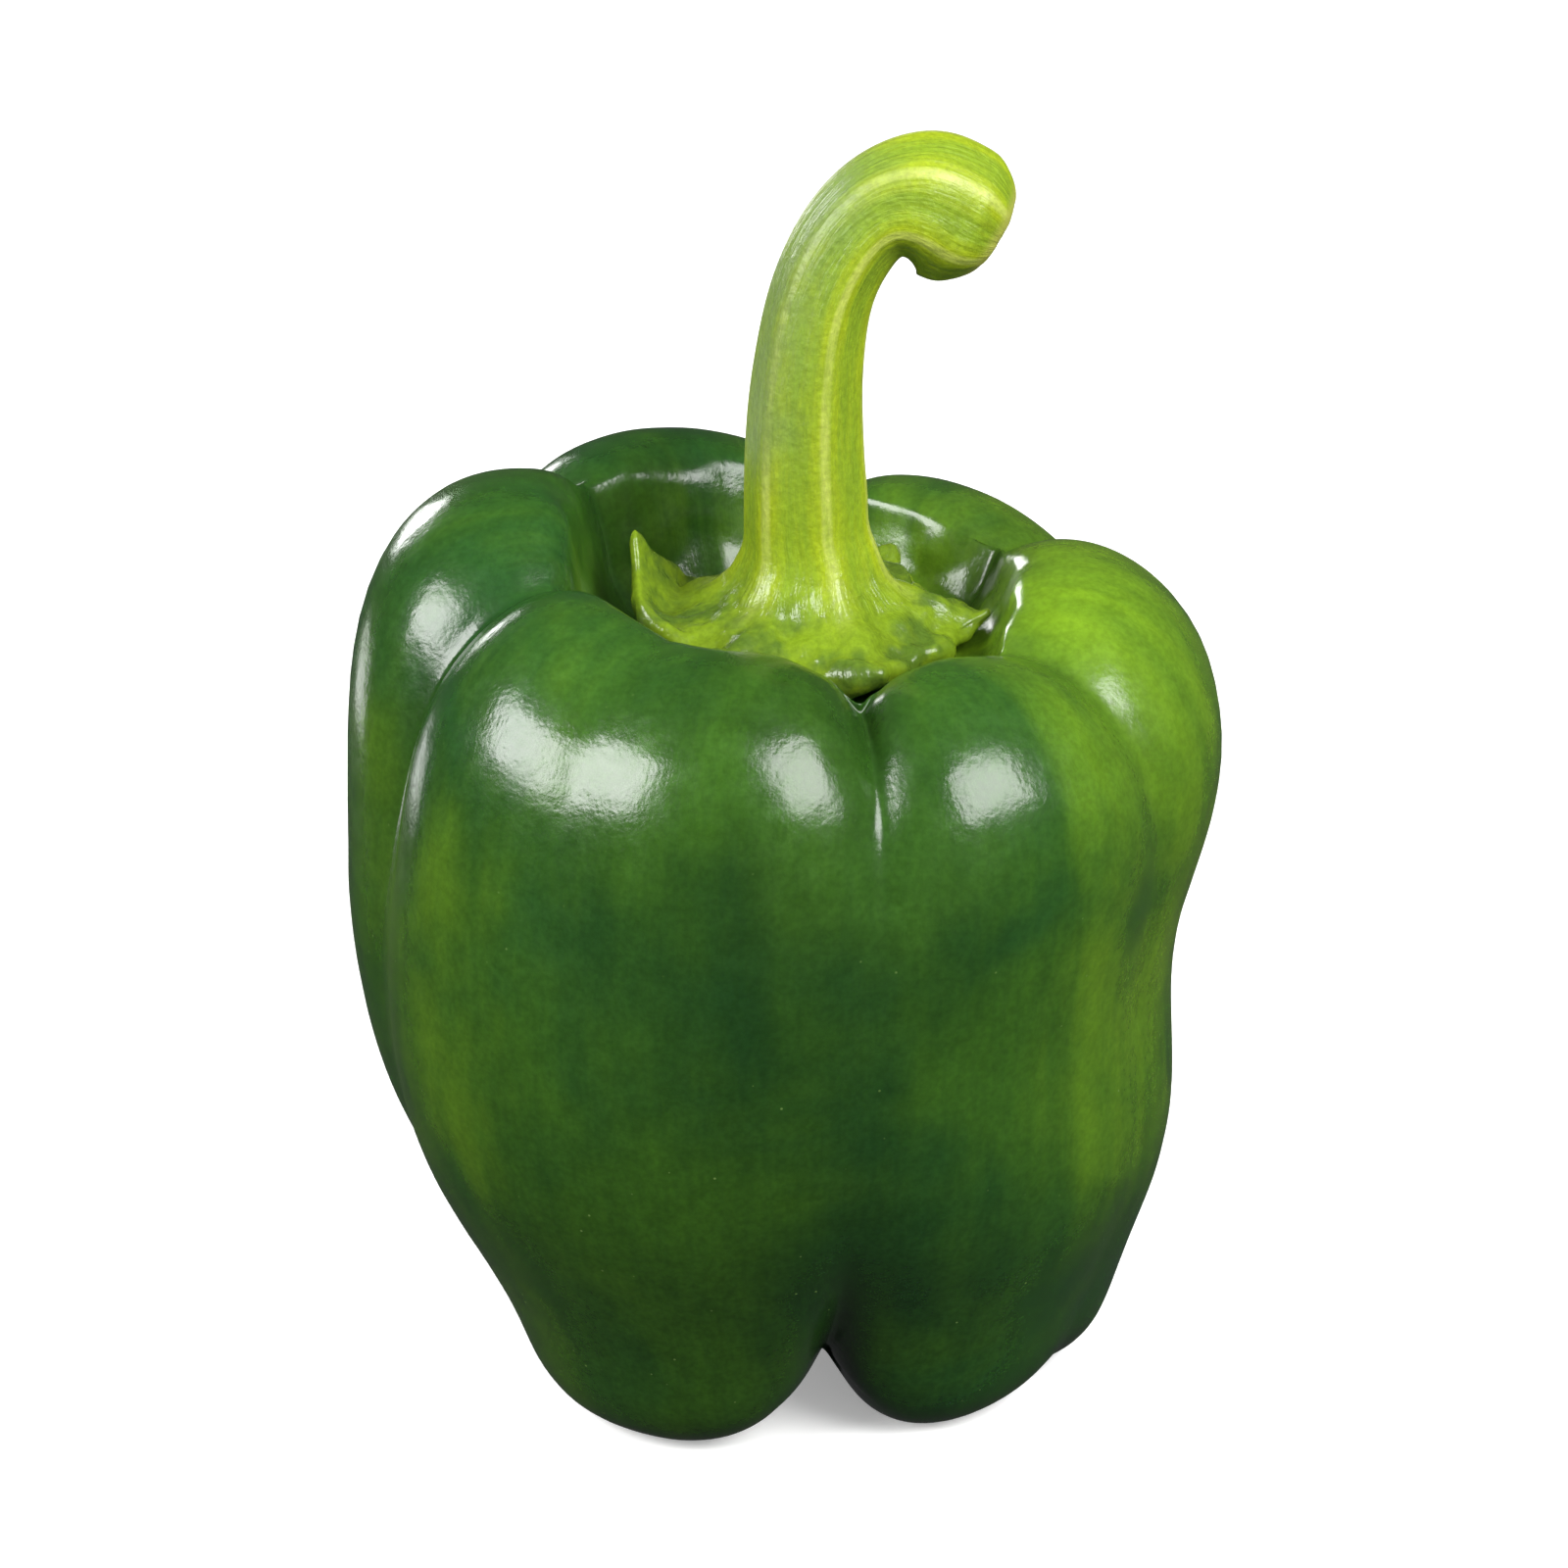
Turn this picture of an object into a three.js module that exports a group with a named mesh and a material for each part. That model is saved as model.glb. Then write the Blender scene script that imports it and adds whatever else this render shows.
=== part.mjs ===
// A green bell pepper with its stem, standing on the lobes of its blossom end.
// Millimetres, +Z up, front towards -Y. The origin is on the ground, under the middle of the pepper's box.
// Directions are degrees anticlockwise from +X, seen from above.

import * as THREE from 'three';
import { mergeVertices } from 'three/addons/utils/BufferGeometryUtils.js';

// Where the fruit's upright axis stands
const AXIS_X = 2.0;
const AXIS_Y = 1.55;

// The smooth outline of the fruit before the furrows are pressed in. Each list has one value for each
// compass direction: right, back right, back, back left, left, front left, front, front right.
const CREST_RADIUS = [28.0, 27.5, 28.0, 29.0, 30.0, 30.0, 28.5, 28.0];
const CREST_HEIGHT = [88.7, 88.6, 91.9, 95.6, 97.4, 92.7, 88.8, 86.5];
const BELLY_RADIUS = [43.0, 41.7, 42.0, 43.7, 47.5, 47.2, 43.5, 43.0];
const BELLY_HEIGHT = [66.0, 66.0, 67.0, 67.5, 67.5, 66.5, 67.0, 66.0];
const WAIST_RADIUS = [38.9, 38.3, 39.5, 42.2, 46.9, 47.5, 42.5, 40.1];
const THIGH_RADIUS = [38.2, 35.3, 35.0, 36.2, 41.6, 43.2, 38.5, 38.8];
const SHIN_RADIUS = [34.0, 31.2, 31.0, 31.2, 33.3, 34.8, 32.0, 32.2];
const FOOT_RADIUS = [17.5, 18.0, 18.0, 18.5, 18.5, 19.5, 18.0, 15.6];
const WAIST_HEIGHT = 49;
const THIGH_HEIGHT = 29;
const SHIN_HEIGHT = 10.6;
// The feet reach a little below the ground, so that the ground trims a small flat spot on each.
const FOOT_HEIGHT = [-1.2, -1.1, -1.1, -1.3, -1.4, -1.4, -1.3, -2.5];

// The pit round the stem: a level floor, a low rim round it, and a wall up to the crest. The wall is hollowed
// out of a straight slope at a share of its height. Under the calyx the floor rises along a curve.
const PIT_HEIGHT = 79;
const PIT_FLAT_RADIUS = 11;
const PIT_RIM_RADIUS = 18.3;
const PIT_RIM_RISE = 1.4;
const PIT_FLOOR_CURVE = 1.3;
const PIT_WALL_HOLLOW = 2;
const PIT_WALL_SHARE = 0.78;

// The navel at the blossom end. Its wall stands at shares of the feet's radius and of the navel's height.
const NAVEL_HEIGHT = 12.5;
const NAVEL_WALL_RADIUS = 0.45;
const NAVEL_WALL_SHARE = 0.6;

// How far the shoulder and the foot bulge out of a straight chamfer, as shares of its width
const SHOULDER_FULLNESS = [0.735, 0.735, 0.735, 0.745, 0.755, 0.705, 0.695, 0.71];
const FOOT_FULLNESS = 0.74;

// The furrows between the lobes. Each runs from its direction at the crest to its direction at the feet.
// Widths are half-widths in degrees at the crest, the waist and the feet. Depths are in the order of the
// profile's stations: pit wall, crest, shoulder, belly, waist, thigh, shin, foot side, foot, foot inside.
const FURROWS = [
  { crest: 34, foot: 30, width: [14, 15.5, 17], depth: [4.5, 5, 4, 2, 1.5, 1, 1, 1, 1, 1] },
  { crest: 84, foot: 95, width: [15.5, 15.5, 15.5], depth: [5, 6.5, 6, 4, 2.5, 2.5, 3.5, 6, 10, 7] },
  { crest: 148, foot: 142, width: [15.5, 15.5, 17], depth: [5, 6.5, 5, 3, 1.5, 1, 1, 1, 1, 1] },
  { crest: 203, foot: 197, width: [14, 11.5, 15.5], depth: [5, 6.3, 7.5, 5, 3.3, 2.5, 2.5, 4, 6, 4] },
  { crest: 238, foot: 238, width: [13, 15.5, 17], depth: [2, 2.4, 2.2, 1.2, 0.4, 0, 0, 0, 0, 0] },
  { crest: 283, foot: 275, width: [9.5, 13, 12], depth: [5, 6.5, 5.2, 3.2, 1.6, 2, 8, 13.5, 13.5, 7] },
  { crest: 328, foot: 335, width: [13, 15.5, 15.5], depth: [3, 3.5, 4, 2.6, 1.4, 1, 1.5, 2.5, 6, 4] },
];
// Depth of a furrow at the pit's middle, its floor's edge and its rim, as shares of the depth at the wall
const PIT_FURROW_SHARES = [0, 0.2, 0.6];
// Roundness at the bottom of a furrow, as a share of its half-width
const FURROW_SOFTNESS = 0.35;
// The part of a deep furrow's depth that lies in a crease along its bottom, and the crease's share of its
// width. A shallower furrow than the full depth has less of a crease.
const CREASE_DEPTH = 0.35;
const CREASE_WIDTH = 0.3;
const CREASE_FULL_DEPTH = 6;
// Where the middle width applies, as a share of the way from the crest to the feet
const WAIST_SHARE = 0.45;

// Grid of the fruit's skin: columns from each furrow to the next, and bands from each station to the next
const LOBE_COLUMNS = [8, 10, 9, 6, 7, 9, 11];
const STATION_BANDS = [3, 2, 3, 3, 6, 2, 4, 4, 4, 4, 3, 4, 3];
// How strongly the columns crowd towards the furrows, from 0 to 1
const CROWDING = 0.55;

// The stem from its foot to its cut end, at even steps: the middle of each section from the fruit's axis,
// its radius, and how far the section's upward side has leaned over to the right, in degrees
const STEM_SECTIONS = [
  { x: 0.4, y: 0, z: 92, radius: 6.15, lean: 0 },
  { x: 0.2, y: 0, z: 102, radius: 5.7, lean: 1 },
  { x: 0.7, y: 0, z: 110, radius: 5.25, lean: 8 },
  { x: 2.1, y: 0.3, z: 117, radius: 4.95, lean: 20 },
  { x: 5.0, y: 0.9, z: 122.6, radius: 5.0, lean: 43 },
  { x: 8.6, y: 1.8, z: 125.4, radius: 5.5, lean: 76 },
  { x: 12.2, y: 2.9, z: 125.2, radius: 6.6, lean: 100 },
  { x: 14.9, y: 3.8, z: 123.6, radius: 6.9, lean: 121 },
];
const STEM_BANDS = 24;
const STEM_COLUMNS = 42;
const RIB_COUNT = 6;
const RIB_HEIGHT = 0.03;
const RIB_DIRECTION = 50;
// How much higher the ribs stand at the outer edge of the foot than on the stem, as a share
const RIB_GROWTH = 1;
// The stem's swollen end narrows to the cut: sizes as shares of the last section, and how far beyond it
const CUT_RINGS = [
  { size: 0, beyond: 4.7 },
  { size: 0.3, beyond: 4.8 },
  { size: 0.54, beyond: 4.7 },
  { size: 0.84, beyond: 3.0 },
  { size: 0.97, beyond: 1.4 },
];

// The calyx: the stem's foot spreads into a disc with teeth round its rim. Each tooth has a direction, a
// half-width in degrees, and lengths by which it reaches out and rises. Those at 176, 180 and 202 degrees
// overlap: together they make a broad flap that stands up along the pit's wall and ends in a small spike.
const CALYX_CENTRE = [0.7, 0];
const CALYX_GAP = 0.6;
const CALYX_RADIUS = [14.9, 14.2, 13.0, 12.4, 16.0, 15.4, 15.0, 15.0];
const CALYX_THICKNESS = 2.4;
const TEETH = [
  { direction: 358, length: 3.8, width: 18, rise: 0.5 },
  { direction: 59, length: 3.6, width: 17, rise: 1.6 },
  { direction: 106, length: 3.4, width: 17, rise: 0.4 },
  { direction: 176, length: 1.5, width: 44, rise: 7.2 },
  { direction: 180, length: 0.6, width: 8, rise: 2.4 },
  { direction: 202, length: 1.8, width: 24, rise: 1.5 },
  { direction: 238, length: 3.0, width: 18, rise: 1.2 },
  { direction: 294, length: 3.0, width: 18, rise: 0.6 },
];
// Above 1 a tooth runs out in a point, at 1 it is a plain triangle
const TOOTH_POINT = 1.4;
// How far the foot stands higher in line with a tooth
const BUTTRESS_HEIGHT = 0.8;
// Rings of the stem's foot above the calyx, from the outer one to the stem
const FLARE = [
  { radius: 11.9, height: 83.7 },
  { radius: 10.0, height: 84.6 },
  { radius: 8.4, height: 85.9 },
  { radius: 7.2, height: 87.8 },
  { radius: 6.5, height: 89.9 },
];
// Rings round the calyx's rim, from its top to its underside. Sizes are shares of its radius, heights above
// the underside are shares of its thickness, and the last share is how far a ring rises with the teeth.
const CALYX_RIM = [
  { size: 0.9, above: 1, rising: 0.55 },
  { size: 0.97, above: 0.8, rising: 1 },
  { size: 1, above: 0.45, rising: 0.95 },
  { size: 0.98, above: 0, rising: 0.8 },
  { size: 0.92, above: 0, rising: 0.2 },
  { size: 0.5, above: 0, rising: 0 },
];

// Points nearer to each other than this are one point
const WELD_DISTANCE = 1e-4;

const FRUIT_COLOUR = 0x3f7320;
const STEM_COLOUR = 0x93b022;

/** Shortest way round from one direction to another, in degrees. */
function turn(from, to) {
  return THREE.MathUtils.euclideanModulo(to - from + 180, 360) - 180;
}

/** Value in a direction, on the smoothest closed curve through one value for each compass direction. */
function around(values, direction) {
  const count = values.length;
  let sum = 0;
  values.forEach((value, index) => {
    const offset = THREE.MathUtils.degToRad(direction - (360 * index) / count);
    let weight = 1 + Math.cos((count / 2) * offset);
    for (let wave = 1; wave < count / 2; wave += 1) {
      weight += 2 * Math.cos(wave * offset);
    }
    sum += (value * weight) / count;
  });
  return sum;
}

/** Value at a place, on the straight lines through the values at the knots. */
function blend(knots, values, place) {
  let index = 0;
  while (index < knots.length - 2 && place > knots[index + 1]) {
    index += 1;
  }
  const share = (place - knots[index]) / (knots[index + 1] - knots[index]);
  return THREE.MathUtils.lerp(values[index], values[index + 1], THREE.MathUtils.clamp(share, 0, 1));
}

/** A natural cubic spline through the values at the knots: returns its value and slope at a place. */
function spline(knots, values) {
  const last = knots.length - 1;
  const carry = new Array(knots.length).fill(0);
  const rest = new Array(knots.length).fill(0);
  for (let i = 1; i < last; i += 1) {
    const before = knots[i] - knots[i - 1];
    const after = knots[i + 1] - knots[i];
    const share = before / (before + after);
    const pivot = share * carry[i - 1] + 2;
    const bend = (values[i + 1] - values[i]) / after - (values[i] - values[i - 1]) / before;
    carry[i] = (share - 1) / pivot;
    rest[i] = ((6 * bend) / (before + after) - share * rest[i - 1]) / pivot;
  }
  const second = new Array(knots.length).fill(0);
  for (let i = last - 1; i > 0; i -= 1) {
    second[i] = carry[i] * second[i + 1] + rest[i];
  }
  return (place) => {
    let i = 0;
    while (i < last - 1 && place > knots[i + 1]) {
      i += 1;
    }
    const span = knots[i + 1] - knots[i];
    const a = (knots[i + 1] - place) / span;
    const b = 1 - a;
    const bow = ((a ** 3 - a) * second[i] + (b ** 3 - b) * second[i + 1]) * (span ** 2 / 6);
    const lean = ((1 - 3 * a ** 2) * second[i] + (3 * b ** 2 - 1) * second[i + 1]) * (span / 6);
    return {
      value: a * values[i] + b * values[i + 1] + bow,
      slope: (values[i + 1] - values[i]) / span + lean,
    };
  };
}

/** Radius and height of the profile's stations in a direction, from the pit's centre to the navel. */
function stations(direction) {
  const crest = { radius: around(CREST_RADIUS, direction), height: around(CREST_HEIGHT, direction) };
  const belly = { radius: around(BELLY_RADIUS, direction), height: around(BELLY_HEIGHT, direction) };
  const shin = { radius: around(SHIN_RADIUS, direction), height: SHIN_HEIGHT };
  const foot = { radius: around(FOOT_RADIUS, direction), height: around(FOOT_HEIGHT, direction) };
  const pitRim = PIT_HEIGHT + PIT_RIM_RISE;
  const fullness = around(SHOULDER_FULLNESS, direction);
  return [
    { radius: 0, height: PIT_HEIGHT },
    { radius: PIT_FLAT_RADIUS, height: PIT_HEIGHT },
    { radius: PIT_RIM_RADIUS, height: pitRim },
    {
      radius: (PIT_RIM_RADIUS + crest.radius) / 2 - PIT_WALL_HOLLOW,
      height: THREE.MathUtils.lerp(pitRim, crest.height, PIT_WALL_SHARE),
    },
    crest,
    {
      radius: THREE.MathUtils.lerp(crest.radius, belly.radius, fullness),
      height: THREE.MathUtils.lerp(belly.height, crest.height, fullness),
    },
    belly,
    { radius: around(WAIST_RADIUS, direction), height: WAIST_HEIGHT },
    { radius: around(THIGH_RADIUS, direction), height: THIGH_HEIGHT },
    shin,
    {
      radius: THREE.MathUtils.lerp(foot.radius, shin.radius, FOOT_FULLNESS),
      height: THREE.MathUtils.lerp(shin.height, foot.height, FOOT_FULLNESS),
    },
    foot,
    {
      radius: foot.radius * NAVEL_WALL_RADIUS,
      height: THREE.MathUtils.lerp(foot.height, NAVEL_HEIGHT, NAVEL_WALL_SHARE),
    },
    { radius: 0, height: NAVEL_HEIGHT },
  ];
}

/** Places of the stations along the profile: lengths from the pit's centre, averaged over all directions. */
function stationPlaces() {
  const compass = CREST_RADIUS.map((value, index) => stations((360 * index) / CREST_RADIUS.length));
  const mean = compass[0].map((station, index) => ({
    radius: compass.reduce((sum, rows) => sum + rows[index].radius, 0) / compass.length,
    height: compass.reduce((sum, rows) => sum + rows[index].height, 0) / compass.length,
  }));
  const places = [0];
  for (let i = 1; i < mean.length; i += 1) {
    const step = Math.hypot(mean[i].radius - mean[i - 1].radius, mean[i].height - mean[i - 1].height);
    places.push(places[i - 1] + step);
  }
  return places;
}

const PLACES = stationPlaces();
const CREST_PLACE = PLACES[4];
const FOOT_PLACE = PLACES[11];

/** Two stations mirrored across the axis at each end, so that the skin is level where it meets the axis. */
function mirrored(list, mirror) {
  const last = list.length - 1;
  return [mirror(list[2]), mirror(list[1]), ...list, mirror(list[last - 1]), mirror(list[last - 2])];
}

const KNOTS = [
  -PLACES[2],
  -PLACES[1],
  ...PLACES,
  2 * PLACES[13] - PLACES[12],
  2 * PLACES[13] - PLACES[11],
];

/** Share of the way from the crest to the feet, 0 above the crest and 1 below the feet. */
function downShare(place) {
  return THREE.MathUtils.clamp((place - CREST_PLACE) / (FOOT_PLACE - CREST_PLACE), 0, 1);
}

/** How deep each furrow is along the profile. */
const FURROW_DEPTHS = FURROWS.map(({ depth }) => {
  const rows = [...PIT_FURROW_SHARES.map((share) => share * depth[0]), ...depth, 0];
  return spline(KNOTS, mirrored(rows, (value) => value));
});

/** Shape of a furrow across: 1 at its bottom, fading out to the sides, where 1 is its half-width. */
function furrowSection(reach, depth) {
  const valley = Math.exp(FURROW_SOFTNESS - Math.hypot(reach, FURROW_SOFTNESS));
  const crease = Math.exp(FURROW_SOFTNESS - Math.hypot(reach / CREASE_WIDTH, FURROW_SOFTNESS));
  return THREE.MathUtils.lerp(valley, crease, CREASE_DEPTH * Math.min(depth / CREASE_FULL_DEPTH, 1));
}

/** Depth of all furrows together at a direction and a place. */
function furrowDepth(direction, place) {
  const share = downShare(place);
  let sum = 0;
  FURROWS.forEach(({ crest, foot, width }, index) => {
    const away = turn(THREE.MathUtils.lerp(crest, foot, share), direction);
    const reach = away / blend([0, WAIST_SHARE, 1], width, share);
    const depth = Math.max(FURROW_DEPTHS[index](place).value, 0);
    sum += depth * furrowSection(reach, depth);
  });
  return sum;
}

/** A point of the fruit's skin: the profile of its direction, pressed in where furrows cross it. */
function skinPoint(direction, place) {
  const rows = stations(direction);
  const radii = mirrored(rows.map((row) => row.radius), (value) => -value);
  const heights = mirrored(rows.map((row) => row.height), (value) => value);
  const radius = spline(KNOTS, radii)(place);
  const height = spline(KNOTS, heights)(place);
  const length = Math.hypot(radius.slope, height.slope);
  const depth = furrowDepth(direction, place);
  const out = radius.value + (depth * height.slope) / length;
  const up = height.value - (depth * radius.slope) / length;
  const angle = THREE.MathUtils.degToRad(direction);
  return new THREE.Vector3(
    AXIS_X + out * Math.cos(angle),
    AXIS_Y + out * Math.sin(angle),
    Math.max(up, 0),
  );
}

/** Directions of the grid's columns at a place: one in each furrow, and the others crowding towards it. */
function columnDirections(place) {
  const share = downShare(place);
  const lines = FURROWS.map(({ crest, foot }) => THREE.MathUtils.lerp(crest, foot, share));
  const directions = [];
  LOBE_COLUMNS.forEach((count, lobe) => {
    const start = lines[lobe];
    const width = THREE.MathUtils.euclideanModulo(lines[(lobe + 1) % lines.length] - start, 360);
    for (let column = 0; column < count; column += 1) {
      const even = column / count;
      const crowded = even - (CROWDING * Math.sin(2 * Math.PI * even)) / (2 * Math.PI);
      directions.push(start + width * crowded);
    }
  });
  return directions;
}

/** Places of the grid's rows along the profile, from the pit's centre to the navel. */
function rowPlaces() {
  const rows = [0];
  STATION_BANDS.forEach((bands, index) => {
    for (let band = 1; band <= bands; band += 1) {
      rows.push(THREE.MathUtils.lerp(PLACES[index], PLACES[index + 1], band / bands));
    }
  });
  return rows;
}

/** A closed skin on the grid of a sphere: rings[0] and the last ring shrink to a point. */
function closedSkin(rings) {
  const columns = rings[1].length;
  const geometry = new THREE.SphereGeometry(1, columns, rings.length - 1);
  const position = geometry.getAttribute('position');
  rings.forEach((ring, row) => {
    for (let column = 0; column <= columns; column += 1) {
      const point = ring[column % ring.length];
      position.setXYZ(row * (columns + 1) + column, point.x, point.y, point.z);
    }
  });
  geometry.deleteAttribute('normal');
  geometry.deleteAttribute('uv');
  const welded = mergeVertices(geometry, WELD_DISTANCE);
  welded.computeVertexNormals();
  return welded;
}

/** The fruit: one closed skin from the pit over the shoulders and feet to the navel. */
function makeFruit() {
  const rings = rowPlaces().map((place) =>
    columnDirections(place).map((direction) => skinPoint(direction, place)));
  rings[0] = [skinPoint(0, 0)];
  rings[rings.length - 1] = [skinPoint(0, PLACES[13])];
  const material = new THREE.MeshStandardMaterial({
    color: FRUIT_COLOUR,
    roughness: 0.22,
    metalness: 0,
  });
  const fruit = new THREE.Mesh(closedSkin(rings), material);
  fruit.name = 'fruit';
  return fruit;
}

/** Ribs along the stem: the radius swells in line with each one. */
function ribSwell(direction) {
  return 1 + RIB_HEIGHT * Math.cos(THREE.MathUtils.degToRad(RIB_COUNT * (direction - RIB_DIRECTION)));
}

/** How far the teeth reach out and rise in a direction, and how near the middle of one it is, from 0 to 1. */
function teethAt(direction) {
  const sum = { reach: 0, rise: 0, share: 0 };
  TEETH.forEach((tooth) => {
    const share = Math.max(1 - Math.abs(turn(tooth.direction, direction)) / tooth.width, 0);
    sum.reach += tooth.length * share ** TOOTH_POINT;
    sum.rise += tooth.rise * share ** TOOTH_POINT;
    sum.share = Math.max(sum.share, share);
  });
  return sum;
}

/** Height of the pit's floor under the calyx. */
function pitFloor(radius) {
  const beyond = Math.max(radius - PIT_FLAT_RADIUS, 0) / (PIT_RIM_RADIUS - PIT_FLAT_RADIUS);
  return PIT_HEIGHT + PIT_RIM_RISE * beyond ** PIT_FLOOR_CURVE;
}

/** A ring round the calyx's middle from a radius and a height for each direction. */
function calyxRing(directions, shape) {
  return directions.map((direction) => {
    const { radius, height } = shape(direction);
    const angle = THREE.MathUtils.degToRad(direction);
    return new THREE.Vector3(
      AXIS_X + CALYX_CENTRE[0] + radius * Math.cos(angle),
      AXIS_Y + CALYX_CENTRE[1] + radius * Math.sin(angle),
      height,
    );
  });
}

/** Rings of the calyx from the stem's foot over the toothed rim to the underside. */
function calyxRings(directions) {
  const flare = [...FLARE].reverse().map(({ radius, height }, index) =>
    calyxRing(directions, (direction) => {
      const spread = (index + 1) / FLARE.length;
      const { share } = teethAt(direction);
      return {
        radius: radius * (1 + (ribSwell(direction) - 1) * (1 + RIB_GROWTH * spread)),
        height: height + BUTTRESS_HEIGHT * spread * share,
      };
    }));
  const rim = CALYX_RIM.map(({ size, above, rising }) =>
    calyxRing(directions, (direction) => {
      const { reach, rise } = teethAt(direction);
      const radius = (around(CALYX_RADIUS, direction) + reach) * size;
      const underside = pitFloor(radius) + CALYX_GAP + rise * rising;
      return { radius, height: underside + CALYX_THICKNESS * above };
    }));
  return [...flare, ...rim];
}

/** Rings of the stem from the cut end down to the calyx. */
function stemRings(directions) {
  const knots = STEM_SECTIONS.map((section, index) => index);
  const last = knots.length - 1;
  const line = (key) => spline(knots, STEM_SECTIONS.map((section) => section[key]));
  const [x, y, z, radius, lean] = ['x', 'y', 'z', 'radius', 'lean'].map(line);
  const section = (place, size, beyond) => {
    const tilt = THREE.MathUtils.degToRad(lean(place).value);
    const centre = new THREE.Vector3(
      AXIS_X + x(place).value + beyond * Math.sin(tilt),
      AXIS_Y + y(place).value,
      z(place).value + beyond * Math.cos(tilt),
    );
    return directions.map((direction) => {
      const angle = THREE.MathUtils.degToRad(direction);
      const reach = radius(place).value * size * ribSwell(direction);
      return new THREE.Vector3(
        centre.x + reach * Math.cos(angle) * Math.cos(tilt),
        centre.y + reach * Math.sin(angle),
        centre.z - reach * Math.cos(angle) * Math.sin(tilt),
      );
    });
  };
  const side = [];
  for (let band = 0; band <= STEM_BANDS; band += 1) {
    side.push(section(last * (1 - band / STEM_BANDS), 1, 0));
  }
  const cut = CUT_RINGS.map(({ size, beyond }) => section(last, size, beyond));
  return [...cut, ...side];
}

/** The stem and its calyx: one closed skin from the cut end down the stem and round the calyx. */
function makeStemCalyx() {
  const directions = Array.from({ length: STEM_COLUMNS }, (unused, column) => (360 * column) / STEM_COLUMNS);
  const middle = calyxRing([0], () => ({ radius: 0, height: PIT_HEIGHT + CALYX_GAP }));
  const rings = [...stemRings(directions), ...calyxRings(directions), middle];
  const material = new THREE.MeshStandardMaterial({
    color: STEM_COLOUR,
    roughness: 0.55,
    metalness: 0,
  });
  const stem = new THREE.Mesh(closedSkin(rings), material);
  stem.name = 'stem_calyx';
  return stem;
}

const pepper = new THREE.Group();
pepper.name = 'bell_pepper';
pepper.add(makeFruit(), makeStemCalyx());

export default pepper;
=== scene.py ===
# %% [markdown]
# # A green bell pepper
# A bell pepper is a hollow fruit of three to five lobes that grew together. The lobes meet in furrows, swell
# over the shoulders, draw in towards the feet, and roll inwards at the top to a pit that holds the calyx and
# the stem. The skin is green with a thin layer of wax, so it is deep in colour and shiny at the same time.
# The construction is already fixed in millimetres. This lesson rebuilds its two pieces on much finer grids
# and gives them their finish: the glossy skin, the fibrous stem and the lumpy calyx.

import math

import bmesh
import bpy
import numpy as np
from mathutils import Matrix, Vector, noise


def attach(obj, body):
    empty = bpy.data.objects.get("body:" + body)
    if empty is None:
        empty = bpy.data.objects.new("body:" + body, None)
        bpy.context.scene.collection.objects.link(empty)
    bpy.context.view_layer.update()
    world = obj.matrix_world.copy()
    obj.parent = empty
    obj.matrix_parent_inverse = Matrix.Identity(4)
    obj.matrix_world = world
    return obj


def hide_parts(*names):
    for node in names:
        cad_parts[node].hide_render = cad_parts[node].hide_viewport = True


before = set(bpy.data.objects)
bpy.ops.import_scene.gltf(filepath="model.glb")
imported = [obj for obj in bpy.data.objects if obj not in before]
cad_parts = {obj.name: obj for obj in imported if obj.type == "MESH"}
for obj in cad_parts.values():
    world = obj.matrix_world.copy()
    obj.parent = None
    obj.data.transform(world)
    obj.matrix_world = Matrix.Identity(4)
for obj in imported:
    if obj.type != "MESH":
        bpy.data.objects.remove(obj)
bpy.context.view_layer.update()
MM = 0.001

# %% [markdown]
# ## The camera
# The fruit is seen from the front and a little above. A camera close by would make the front lobes bulge, so
# it stands seven times the fruit's width away, with a long lens. Its height can be read off the pit: the more
# of it shows, the higher the camera. The shift only puts the fruit where it stands in the picture.

# %% The camera
AXIS = Vector((2.0, 1.55, 0)) * MM
AIM_HEIGHT = 61.1 * MM
CAMERA_DISTANCE = 0.62
CAMERA_ELEVATION = math.radians(24)
VIEW_WIDTH_AT_AIM = 0.16
SENSOR_WIDTH = 36
SHIFT_ASIDE = -0.0119
SHIFT_UP = 0.015

camera_data = bpy.data.cameras.new("camera")
camera_data.sensor_width = SENSOR_WIDTH
camera_data.lens = SENSOR_WIDTH * CAMERA_DISTANCE / VIEW_WIDTH_AT_AIM
camera_data.shift_x = SHIFT_ASIDE
camera_data.shift_y = SHIFT_UP
camera = bpy.data.objects.new("camera", camera_data)
bpy.context.collection.objects.link(camera)
aim = AXIS + Vector((0, 0, AIM_HEIGHT))
back = Vector((0, -math.cos(CAMERA_ELEVATION), math.sin(CAMERA_ELEVATION)))
camera.location = aim + back * CAMERA_DISTANCE
camera.rotation_euler = (math.pi / 2 - CAMERA_ELEVATION, 0, 0)
bpy.context.scene.camera = camera
print("camera lens", round(camera_data.lens, 1), "mm at", [round(x, 3) for x in camera.location])

# %% [markdown]
# ## The floor and the room
# A plain pale floor carries the fruit and fills the picture. It glows a little, like a light table, so that
# shadows stay faint. Round it there is only a soft, dim room: a shiny skin shows whatever stands around it,
# and a bright room would wash its green out. Only the camera sees a white backdrop; the skin doesn't.


# %% The floor and the room
def add_node(tree, kind, inputs=None, **settings):
    """A node with its settings made and its sockets filled, with a value or with another node's output."""
    made = tree.nodes.new(kind)
    for name, value in settings.items():
        setattr(made, name, value)
    for name, value in (inputs or {}).items():
        if isinstance(value, bpy.types.NodeSocket):
            tree.links.new(value, made.inputs[name])
        else:
            made.inputs[name].default_value = value
    return made


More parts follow.
